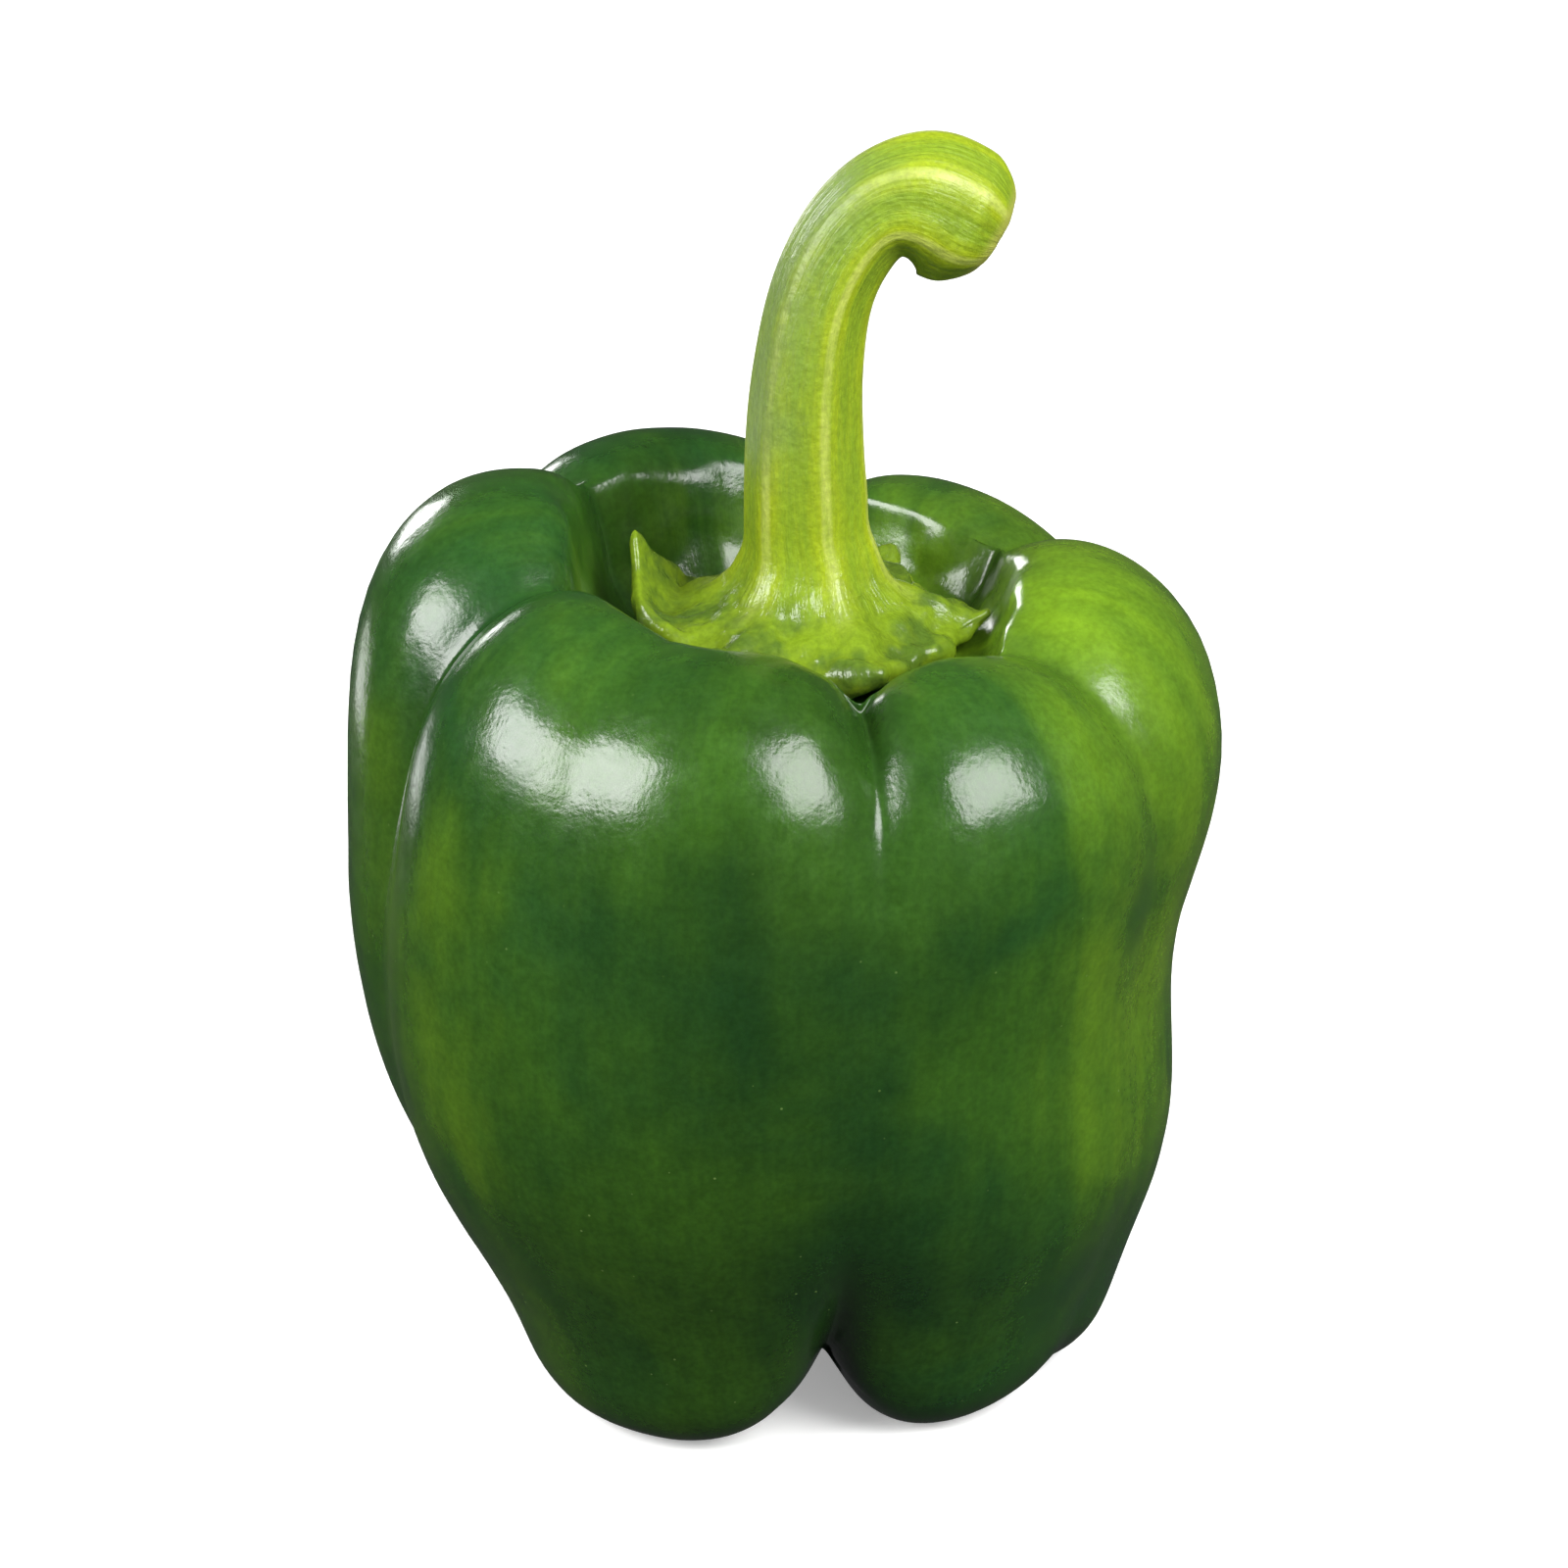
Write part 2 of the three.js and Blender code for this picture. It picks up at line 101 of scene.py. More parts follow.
def new_material(name):
    """An empty material with its shader and its output: returns the material, its tree and the shader."""
    material = bpy.data.materials.new(name)
    material.use_nodes = True
    tree = material.node_tree
    tree.nodes.clear()
    shader = add_node(tree, "ShaderNodeBsdfPrincipled")
    output = add_node(tree, "ShaderNodeOutputMaterial")
    tree.links.new(shader.outputs["BSDF"], output.inputs["Surface"])
    return material, tree, shader


FLOOR_RADIUS = 4.0
FLOOR_SEGMENTS = 96
FLOOR_COLOUR = (0.86, 0.86, 0.85, 1)
FLOOR_GLOW = 0.3
FLOOR_ROUGHNESS = 0.9
FLOOR_SHINE = 0.1
WHITE = (1, 1, 1, 1)
ROOM_COLOUR = (0.95, 0.98, 1, 1)
ROOM_GLOW = 0.06
BACKDROP_GLOW = 1.0

floor_form = bmesh.new()
bmesh.ops.create_circle(floor_form, cap_ends=True, segments=FLOOR_SEGMENTS, radius=FLOOR_RADIUS)
floor_mesh = bpy.data.meshes.new("floor")
floor_form.to_mesh(floor_mesh)
floor_form.free()
floor = bpy.data.objects.new("floor", floor_mesh)
bpy.context.collection.objects.link(floor)
floor_material, _, floor_shader = new_material("floor_white")
floor_shader.inputs["Base Color"].default_value = FLOOR_COLOUR
floor_shader.inputs["Emission Color"].default_value = WHITE
floor_shader.inputs["Emission Strength"].default_value = FLOOR_GLOW
floor_shader.inputs["Roughness"].default_value = FLOOR_ROUGHNESS
floor_shader.inputs["Specular IOR Level"].default_value = FLOOR_SHINE
floor_mesh.materials.append(floor_material)
floor.visible_glossy = False
floor.visible_diffuse = False

world = bpy.data.worlds.new("room")
world.use_nodes = True
bpy.context.scene.world = world
room = world.node_tree.nodes["Background"]
room.inputs["Color"].default_value = ROOM_COLOUR
seen = add_node(world.node_tree, "ShaderNodeLightPath").outputs["Is Camera Ray"]
glow = add_node(
    world.node_tree, "ShaderNodeMapRange", {"Value": seen, "To Min": ROOM_GLOW, "To Max": BACKDROP_GLOW})
world.node_tree.links.new(glow.outputs["Result"], room.inputs["Strength"])
bpy.context.scene.view_settings.view_transform = "Standard"
print("floor", 2 * FLOOR_RADIUS, "m across")

# %% [markdown]
# ## The lights
# On a waxy skin the eye reads the shape from the pale patches that the lamps leave on it. A bright room all
# round would give the same light, but its reflection would lie over the green like milk. So a few soft white
# boxes stand round the fruit. Their places are given as directions seen from the fruit, and their sizes as
# the angle that they fill. A low box lines the left flank. Three wide ones only fill the shadows, so they
# are kept out of reflections.

# %% The lights
LIGHT_HEIGHT = 60 * MM
LIGHT_CENTRE = AXIS + Vector((0, 0, LIGHT_HEIGHT))
LIGHT_DISTANCE = 0.6


def add_softbox(name, azimuth, elevation, wide, high, radiance, shown=True, distance=LIGHT_DISTANCE):
    """A soft box that looks at the fruit. Azimuth 270 is the camera's side. Angles are in degrees."""
    width, height = (2 * distance * math.tan(math.radians(angle) / 2) for angle in (wide, high))
    data = bpy.data.lights.new(name, "AREA")
    data.shape = "RECTANGLE"
    data.size = width
    data.size_y = height
    data.energy = radiance * math.pi * width * height
    light = bpy.data.objects.new(name, data)
    bpy.context.collection.objects.link(light)
    side, rise = math.radians(azimuth), math.radians(elevation)
    away = Vector((math.cos(side) * math.cos(rise), math.sin(side) * math.cos(rise), math.sin(rise)))
    light.location = LIGHT_CENTRE + away * distance
    light.rotation_euler = away.to_track_quat("Z", "Y").to_euler()
    light.visible_glossy = shown
    light.visible_camera = False
    print(name, "box", round(width, 2), "x", round(height, 2), "m,", round(data.energy, 2), "W")


add_softbox("light_front_left", azimuth=209, elevation=31, wide=34, high=24, radiance=17)
add_softbox("light_front_right", azimuth=317, elevation=40, wide=34, high=30, radiance=13)
add_softbox("light_back_left", azimuth=121, elevation=12, wide=12, high=16, radiance=16)
add_softbox("light_low_left", azimuth=145, elevation=-8, wide=18, high=10, radiance=3, distance=0.25)
add_softbox("light_right_fill", azimuth=340, elevation=45, wide=50, high=50, radiance=2.4, shown=False)
add_softbox("light_front_fill", azimuth=296, elevation=6, wide=50, high=44, radiance=2.4, shown=False)
add_softbox("light_overhead", azimuth=270, elevation=80, wide=70, high=70, radiance=1.2, shown=False)

# %% [markdown]
# ## Curves that go round, and curves that go down
# The fruit has no straight line. It could be sculpted by hand, but then its sizes would be lost. So it is
# drawn with curves through given sizes. Round it, each size is given in eight directions, and a sum of
# cosines runs smoothly through them. Down it, a cubic spline runs through the stations of the profile. The
# spline is kept as weights, so that one table serves tens of thousands of points at once.


# %% Curves that go round, and curves that go down
def around(values, direction):
    """Values on the smoothest closed curve through one value for each compass direction."""
    count = len(values)
    total = np.zeros_like(direction)
    for index, value in enumerate(values):
        offset = np.radians(direction - 360 * index / count)
        weight = 1 + np.cos(count / 2 * offset)
        for wave in range(1, count // 2):
            weight += 2 * np.cos(wave * offset)
        total += value * weight / count
    return total


def spline_weights(knots, places):
    """How much each knot counts at each place, for the curve's value and for its slope."""
    count = len(knots)
    gaps = np.diff(knots)
    left = np.eye(count)
    right = np.zeros((count, count))
    for i in range(1, count - 1):
        before, after = gaps[i - 1], gaps[i]
        left[i, i - 1:i + 2] = before, 2 * (before + after), after
        right[i, i - 1:i + 2] = 6 / before, -6 / before - 6 / after, 6 / after
    bend = np.linalg.solve(left, right)
    at = np.clip(np.searchsorted(knots, places) - 1, 0, count - 2)
    gap = gaps[at][:, None]
    a = (knots[at + 1] - places)[:, None] / gap
    b = 1 - a
    ends = np.eye(count)
    value = a * ends[at] + b * ends[at + 1] + ((a**3 - a) * bend[at] + (b**3 - b) * bend[at + 1]) * gap**2 / 6
    slope = (ends[at + 1] - ends[at]) / gap
    slope += ((1 - 3 * a**2) * bend[at] + (3 * b**2 - 1) * bend[at + 1]) * gap / 6
    return value, slope


halfway = spline_weights(np.arange(4.0), np.array([1.5]))[0] @ [0, 1, 3, 4]
print("a spline through 0, 1, 3 and 4 passes", halfway.round(2), "halfway")

# %% [markdown]
# ## The fruit's profile
# Fourteen stations lead from the middle of the pit over the crest, the shoulder and the belly down to the
# feet and up into the navel. They are the driving dimensions of the construction, one value for each compass
# direction from the right side anticlockwise, because no two lobes are alike. One round profile turned on
# the axis would be simpler, but it would make a bell and not a pepper.

# %% The fruit's profile
CREST_RADIUS = [28.0, 27.5, 28.0, 29.0, 30.0, 30.0, 28.5, 28.0]
CREST_HEIGHT = [88.7, 88.6, 91.9, 95.6, 97.4, 92.7, 88.8, 86.5]
BELLY_RADIUS = [43.0, 41.7, 42.0, 43.7, 47.5, 47.2, 43.5, 43.0]
BELLY_HEIGHT = [66.0, 66.0, 67.0, 67.5, 67.5, 66.5, 67.0, 66.0]
WAIST_RADIUS = [38.9, 38.3, 39.5, 42.2, 46.9, 47.5, 42.5, 40.1]
THIGH_RADIUS = [38.2, 35.3, 35.0, 36.2, 41.6, 43.2, 38.5, 38.8]
SHIN_RADIUS = [34.0, 31.2, 31.0, 31.2, 33.3, 34.8, 32.0, 32.2]
FOOT_RADIUS = [17.5, 18.0, 18.0, 18.5, 18.5, 19.5, 18.0, 15.6]
FOOT_HEIGHT = [-1.2, -1.1, -1.1, -1.3, -1.4, -1.4, -1.3, -2.5]
WAIST_HEIGHT = 49
THIGH_HEIGHT = 29
SHIN_HEIGHT = 10.6
PIT_HEIGHT = 79
PIT_FLAT_RADIUS = 11
PIT_RIM_RADIUS = 18.3
PIT_RIM_RISE = 1.4
PIT_FLOOR_CURVE = 1.3
PIT_WALL_HOLLOW = 2
PIT_WALL_SHARE = 0.78
NAVEL_HEIGHT = 12.5
NAVEL_WALL_RADIUS = 0.45
NAVEL_WALL_SHARE = 0.6
SHOULDER_FULLNESS = [0.735, 0.735, 0.735, 0.745, 0.755, 0.705, 0.695, 0.71]
FOOT_FULLNESS = 0.74


def mix(low, high, share):
    return low + (high - low) * share


def stations(direction):
    """Radius and height of the fourteen stations in each direction, as two lists of arrays."""
    same = np.ones_like(direction)
    crest, top = around(CREST_RADIUS, direction), around(CREST_HEIGHT, direction)
    belly, middle = around(BELLY_RADIUS, direction), around(BELLY_HEIGHT, direction)
    shin = around(SHIN_RADIUS, direction)
    foot, ground = around(FOOT_RADIUS, direction), around(FOOT_HEIGHT, direction)
    fullness = around(SHOULDER_FULLNESS, direction)
    rim = PIT_HEIGHT + PIT_RIM_RISE
    wall = (PIT_RIM_RADIUS + crest) / 2 - PIT_WALL_HOLLOW
    radii = [0 * same, PIT_FLAT_RADIUS * same, PIT_RIM_RADIUS * same, wall]
    radii += [crest, mix(crest, belly, fullness), belly]
    radii += [around(WAIST_RADIUS, direction), around(THIGH_RADIUS, direction), shin]
    radii += [mix(foot, shin, FOOT_FULLNESS), foot, foot * NAVEL_WALL_RADIUS, 0 * same]
    heights = [PIT_HEIGHT * same, PIT_HEIGHT * same, rim * same, mix(rim, top, PIT_WALL_SHARE)]
    heights += [top, mix(middle, top, fullness), middle]
    heights += [WAIST_HEIGHT * same, THIGH_HEIGHT * same, SHIN_HEIGHT * same]
    heights += [mix(SHIN_HEIGHT, ground, FOOT_FULLNESS), ground]
    heights += [mix(ground, NAVEL_HEIGHT, NAVEL_WALL_SHARE), NAVEL_HEIGHT * same]
    return radii, heights


def mirrored(rows, sign):
    """Two stations mirrored across the axis at each end, so that the skin crosses the axis level."""
    return np.array([sign * rows[2], sign * rows[1], *rows, sign * rows[-2], sign * rows[-3]])


compass = np.arange(len(CREST_RADIUS)) * 360 / len(CREST_RADIUS)
mean_radii, mean_heights = (np.array(rows).mean(axis=1) for rows in stations(compass))
PLACES = np.concatenate([[0], np.cumsum(np.hypot(np.diff(mean_radii), np.diff(mean_heights)))])
CREST_PLACE, FOOT_PLACE, NAVEL_PLACE = PLACES[4], PLACES[11], PLACES[13]
KNOTS = np.concatenate([-PLACES[[2, 1]], PLACES, 2 * NAVEL_PLACE - PLACES[[12, 11]]])
print("length of the profile from pit to navel:", round(NAVEL_PLACE, 1), "mm")

# %% [markdown]
# ## The furrows
# Seven furrows divide the lobes. Cut in with a tool they would look carved, so they are part of the profile
# itself, which dips where one runs. Each wanders from its direction at the crest to another one at the feet,
# with its own width and depth on the way: a row holds both directions, three half-widths and a depth for each
# station from the pit's wall to the navel's. A furrow is a valley whose sides fade out over the lobes. Where
# it is deep it has a narrow crease along its bottom. Both are exponentials with a rounded tip.

# %% The furrows
FURROWS = [
    (34, 30, (14, 15.5, 17), (4.5, 5, 4, 2, 1.5, 1, 1, 1, 1, 1)),
    (84, 95, (15.5, 15.5, 15.5), (5, 6.5, 6, 4, 2.5, 2.5, 3.5, 6, 10, 7)),
    (148, 142, (15.5, 15.5, 17), (5, 6.5, 5, 3, 1.5, 1, 1, 1, 1, 1)),
    (203, 197, (14, 11.5, 15.5), (5, 6.3, 7.5, 5, 3.3, 2.5, 2.5, 4, 6, 4)),
    (238, 238, (13, 15.5, 17), (2, 2.4, 2.2, 1.2, 0.4, 0, 0, 0, 0, 0)),
    (283, 275, (9.5, 13, 12), (5, 6.5, 5.2, 3.2, 1.6, 2, 8, 13.5, 13.5, 7)),
    (328, 335, (13, 15.5, 15.5), (3, 3.5, 4, 2.6, 1.4, 1, 1.5, 2.5, 6, 4)),
]
PIT_FURROW_SHARES = np.array([0, 0.2, 0.6])
FURROW_SOFTNESS = 0.35
CREASE_DEPTH = 0.35
CREASE_WIDTH = 0.3
CREASE_FULL_DEPTH = 6
WAIST_SHARE = 0.45
DARK_DEPTH = 3


def down_share(place):
    """Share of the way from the crest to the feet, 0 above the crest and 1 below the feet."""
    return np.clip((place - CREST_PLACE) / (FOOT_PLACE - CREST_PLACE), 0, 1)


def furrow_section(reach, depth):
    """Shape of a furrow across: 1 at its bottom, fading out to the sides, where 1 is its half-width."""
    valley = np.exp(FURROW_SOFTNESS - np.hypot(reach, FURROW_SOFTNESS))
    crease = np.exp(FURROW_SOFTNESS - np.hypot(reach / CREASE_WIDTH, FURROW_SOFTNESS))
    return mix(valley, crease, CREASE_DEPTH * np.minimum(depth / CREASE_FULL_DEPTH, 1))


def furrow_depth(direction, place, weights):
    """Depth of all furrows together, and how near the bottom of the nearest one is, from 0 to 1.

    The nearness is the mask of the painted shade in the furrows, and it fades out where a furrow is shallow:
    it is full from DARK_DEPTH on.
    """
    down = down_share(place)
    total = np.zeros_like(direction)
    nearness = np.zeros_like(direction)
    for crest, foot, width, depth in FURROWS:
        rows = np.array([*PIT_FURROW_SHARES * depth[0], *depth, 0])[:, None]
        deep = np.maximum(weights @ mirrored(rows, 1), 0)[:, 0]
        away = (direction - mix(crest, foot, down) + 180) % 360 - 180
        section = furrow_section(away / np.interp(down, [0, WAIST_SHARE, 1], width), deep)
        total += deep * section
        nearness = np.maximum(nearness, section * np.clip(deep / DARK_DEPTH, 0, 1))
    return total, nearness


print(len(FURROWS), "furrows, up to", max(max(depths) for *_, depths in FURROWS), "mm deep")

# %% [markdown]
# ## The fruit's grid
# The skin is one closed surface, so a ball is the right start: its poles become the middle of the pit and the
# navel. A subdivided cube would spread its points more evenly, but none of its lines would run down a furrow.
# The ball's meridians do: they follow the furrows down the fruit and crowd towards them, so that every crease
# has a line of its own and stays crisp.

# %% The fruit's grid
LOBE_COLUMNS = np.array([8, 10, 9, 6, 7, 9, 11])
STATION_BANDS = np.array([3, 2, 3, 3, 6, 2, 4, 4, 4, 4, 3, 4, 3])
CROWDING = 0.55
FINER_COLUMNS = 5
FINER_BANDS = 4


def ball_grid(columns, rows):
    """A closed ball, and the column and the row of each of its vertices."""
    form = bmesh.new()
    bmesh.ops.create_uvsphere(form, u_segments=columns, v_segments=rows, radius=1)
    form.verts.ensure_lookup_table()
    x, y, z = np.array([vert.co for vert in form.verts]).T
    column = np.round(np.arctan2(y, x) / (2 * np.pi) * columns) % columns
    row = np.round(np.arccos(np.clip(z, -1, 1)) / np.pi * rows)
    return form, column.astype(int), row.astype(int)


def column_directions(column, place):
    """Direction of each column at each place, on its way along the furrows."""
    down = down_share(place)
    starts = np.concatenate([[0], np.cumsum(LOBE_COLUMNS * FINER_COLUMNS)])
    lobe = np.searchsorted(starts, column, side="right") - 1
    even = (column - starts[lobe]) / (LOBE_COLUMNS[lobe] * FINER_COLUMNS)
    crests = np.array([furrow[0] for furrow in FURROWS] + [FURROWS[0][0] + 360])
    feet = np.array([furrow[1] for furrow in FURROWS] + [FURROWS[0][1] + 360])
    start = mix(crests[lobe], feet[lobe], down)
    end = mix(crests[lobe + 1], feet[lobe + 1], down)
    return mix(start, end, even - CROWDING * np.sin(2 * np.pi * even) / (2 * np.pi))


band_count = STATION_BANDS.sum() * FINER_BANDS
band_ends = np.concatenate([[0], np.cumsum(STATION_BANDS * FINER_BANDS)])
row_places = np.interp(np.arange(band_count + 1), band_ends, PLACES)
fruit_form, fruit_column, fruit_row = ball_grid(int(LOBE_COLUMNS.sum()) * FINER_COLUMNS, int(band_count))
fruit_place = row_places[fruit_row]
fruit_direction = column_directions(fruit_column, fruit_place)
print("fruit grid:", len(fruit_form.verts), "points")

# %% [markdown]
# ## The fruit's skin takes its shape
# Every point of the ball moves to the profile of its own direction and is pressed in along the profile's
# normal where a furrow crosses it. Real skin is never perfectly even: low swells, no deeper than two sheets
# of paper, break the reflections up as on the grown fruit, and in the pit the skin puckers round the calyx.
# A sculpting brush could raise them by eye; a noise raises them in the same way each time. The ground then
# trims the feet level.

# %% The fruit's skin takes its shape
SWELL_SIZES = [(13 * MM, 0.16 * MM), (5 * MM, 0.05 * MM)]
PIT_SWELL_SIZES = [(6 * MM, 0.8 * MM), (3 * MM, 0.2 * MM)]
PIT_SWELL_FADE = 9


def swell(point, sizes):
    """Height of the low swells at a point. The sizes are pairs of wavelength and height, in metres."""
    return sum(height * noise.noise(point / wavelength) for wavelength, height in sizes)


def shape_fruit(form, direction, place):
    """Moves the ball's points onto the fruit and returns how near each one is to a furrow's bottom."""
    value, slope = spline_weights(KNOTS, place)
    radii, heights = stations(direction)
    radii, heights = mirrored(radii, -1).T, mirrored(heights, 1).T
    radius, height = (value * radii).sum(axis=1), (value * heights).sum(axis=1)
    radius_slope, height_slope = (slope * radii).sum(axis=1), (slope * heights).sum(axis=1)
    length = np.hypot(radius_slope, height_slope)
    depth, nearness = furrow_depth(direction, place, value)
    out = radius + depth * height_slope / length
    up = height - depth * radius_slope / length
    angle = np.radians(direction)
    for vert, r, a, z in zip(form.verts, out, angle, up):
        vert.co = AXIS + Vector((r * math.cos(a), r * math.sin(a), z)) * MM
    form.normal_update()
    pucker = np.clip((CREST_PLACE - place) / PIT_SWELL_FADE, 0, 1)
    for vert, normal, share in zip(form.verts, [vert.normal.copy() for vert in form.verts], pucker):
        vert.co += normal * (swell(vert.co, SWELL_SIZES) + share * swell(vert.co, PIT_SWELL_SIZES))
        vert.co.z = max(vert.co.z, 0)
    return nearness


fruit_furrow_shade_mask = shape_fruit(fruit_form, fruit_direction, fruit_place)
print("fruit height", round(max(vert.co.z for vert in fruit_form.verts) / MM, 1), "mm")

# %% [markdown]
# ## What the skin needs to know about itself
# Colour follows growth: it runs in streaks down the lobes and pales where the sun reached. The furrows are
# darkened with painted shade, most between the feet. Painting an image would need a flat map of the skin and
# would blur close by. Here the facts are stored on the points instead, and the finish reads them.

# %% What the skin needs to know about itself
SUN_HIGH = [0.82, 0.6, 0.4, 0.3, 0.3, 0.34, -0.12, 0.5]
SUN_LOW = [0.05, 0.2, 0.3, 0.25, 0.25, 0.3, 0.15, 0.25]
GRAIN_STRETCH = 0.12
FRUIT_GIRTH_RADIUS = 40


def finish_mesh(form, name, values, vectors):
    """A smooth, closed object from a form, with facts stored on its points."""
    mesh = bpy.data.meshes.new(name)
    form.to_mesh(mesh)
    form.free()
    for key, numbers in values.items():
        mesh.attributes.new(key, "FLOAT", "POINT").data.foreach_set("value", numbers.astype(np.float32))
    for key, numbers in vectors.items():
        flat = numbers.astype(np.float32).ravel()
        mesh.attributes.new(key, "FLOAT_VECTOR", "POINT").data.foreach_set("vector", flat)
    mesh.polygons.foreach_set("use_smooth", np.ones(len(mesh.polygons), bool))
    made = bpy.data.objects.new(name, mesh)
    bpy.context.collection.objects.link(made)
    print(name, sum(len(face.vertices) - 2 for face in mesh.polygons), "triangles")
    return made


def grain_along(direction, place, radius):
    """A point on a long cylinder: noise there runs in streaks along the place and closes round the girth."""
    angle = np.radians(direction)
    return np.stack([radius * np.cos(angle), radius * np.sin(angle), place * GRAIN_STRETCH], axis=1)


fruit_down = down_share(fruit_place)
fruit_sun = mix(around(SUN_HIGH, fruit_direction), around(SUN_LOW, fruit_direction), fruit_down)
fruit_values = {
    "down": (fruit_place - CREST_PLACE) / (FOOT_PLACE - CREST_PLACE),
    # The furrow value is the mask of the painted shade in the furrows.
    "furrow": fruit_furrow_shade_mask,
    "sun": fruit_sun,
}
fruit_vectors = {"grain": grain_along(fruit_direction, fruit_place, FRUIT_GIRTH_RADIUS)}
fruit = finish_mesh(fruit_form, "fruit_skin", fruit_values, fruit_vectors)

# %% [markdown]
# ## Small tools for the finishes
# A finish is a chain of small steps: read a fact from the points, make a noise, map a value from one range to
# another, blend two colours. Wired by hand in the editor it soon becomes a web that nobody can follow. With a
# short function for each step, a finish reads like a recipe from top to bottom.


# %% Small tools for the finishes
def read(tree, name, output="Fac"):
    return add_node(tree, "ShaderNodeAttribute", attribute_name=name).outputs[output]


def noise_of(tree, vector, scale, detail=2.0, roughness=0.5, distortion=0.0):
    settings = {"Vector": vector, "Scale": scale, "Detail": detail, "Roughness": roughness}
    return add_node(tree, "ShaderNodeTexNoise", {**settings, "Distortion": distortion}).outputs["Fac"]


def ramp(tree, value, low, high, out_low=0.0, out_high=1.0):
    """Maps a value smoothly from one range to another."""
    ranges = {"Value": value, "From Min": low, "From Max": high, "To Min": out_low, "To Max": out_high}
    return add_node(tree, "ShaderNodeMapRange", ranges, interpolation_type="SMOOTHSTEP").outputs["Result"]


def calculate(tree, operation, a, b):
    made = add_node(tree, "ShaderNodeMath", operation=operation)
    for socket, value in zip(made.inputs, (a, b)):
        if isinstance(value, bpy.types.NodeSocket):
            tree.links.new(value, socket)
        else:
            socket.default_value = value
    return made.outputs[0]


def blend_colours(tree, share, a, b, blend_type="MIX"):
    """Blends two colours. The node keeps its colour sockets at inputs 6 and 7 and at output 2."""
    made = add_node(tree, "ShaderNodeMix", data_type="RGBA", blend_type=blend_type)
    for index, value in ((0, share), (6, a), (7, b)):
        if isinstance(value, bpy.types.NodeSocket):
            tree.links.new(value, made.inputs[index])
        else:
            made.inputs[index].default_value = value
    return made.outputs[2]


def shaded(tree, colour, shade):
    """A colour made lighter or darker by a factor."""
    grey = add_node(tree, "ShaderNodeCombineXYZ", {"X": shade, "Y": shade, "Z": shade}).outputs[0]
    return blend_colours(tree, 1.0, colour, grey, "MULTIPLY")


def stack_bumps(tree, layers):
    """Bumps on top of each other: each layer is a height and its depth in metres."""
    normal = None
    for height, depth in layers:
        inputs = {"Height": height, "Distance": depth, "Strength": 1.0}
        if normal:
            inputs["Normal"] = normal
        normal = add_node(tree, "ShaderNodeBump", inputs).outputs["Normal"]
    return normal


def make_fleshy(shader, refraction, weight, radius, scale):
    """How strongly the wax bends light, and how far light sinks into the flesh: green goes deepest."""
    shader.inputs["IOR"].default_value = refraction
    shader.inputs["Subsurface Weight"].default_value = weight
    shader.inputs["Subsurface Radius"].default_value = radius
    shader.inputs["Subsurface Scale"].default_value = scale


print("tools ready")

# %% [markdown]
# ## The skin's finish
# Under the wax lies a deep, cool green. Towards the sun it turns warm and yellow. Streaks follow the lobes,
# a fine mottling breaks them up, and tiny pale pores dot the lower half. One flat green with a high gloss
# would look like a plastic toy: it is these four layers that make it grown. On top the wax is smooth but not
# a mirror: a grain like that of orange peel, far finer, softens the edge of every reflection.

# %% The skin's finish
DEEP_GREEN = (0.014, 0.047, 0.007, 1)
LEAF_GREEN = (0.030, 0.086, 0.007, 1)
COOL_GREEN = (0.006, 0.043, 0.012, 1)
SUNNY_GREEN = (0.115, 0.21, 0.008, 1)
FEET_GAP_SHADE_GREEN = (0.004, 0.012, 0.006, 1)
PORE_COLOUR = (0.12, 0.20, 0.05, 1)
SCAR_COLOUR = (0.10, 0.07, 0.03, 1)
STREAK_SCALE = 0.16
THREAD_SCALE = 1.3
CLOUD_SCALE = 34
MOTTLE_SCALE = 380
GRIT_SCALE = 1500
PEEL_SCALE = 700
FINE_PEEL_SCALE = 2380
PORE_SCALE = 420
PORE_PATCH_SCALE = 160
THREAD_DEPTH = 0.015 * MM
PEEL_DEPTH = 0.045 * MM
FINE_PEEL_DEPTH = 0.018 * MM
WAX_ROUGHNESS = (0.18, 0.25)
SCAR_EDGE = (1.2, 1.24)


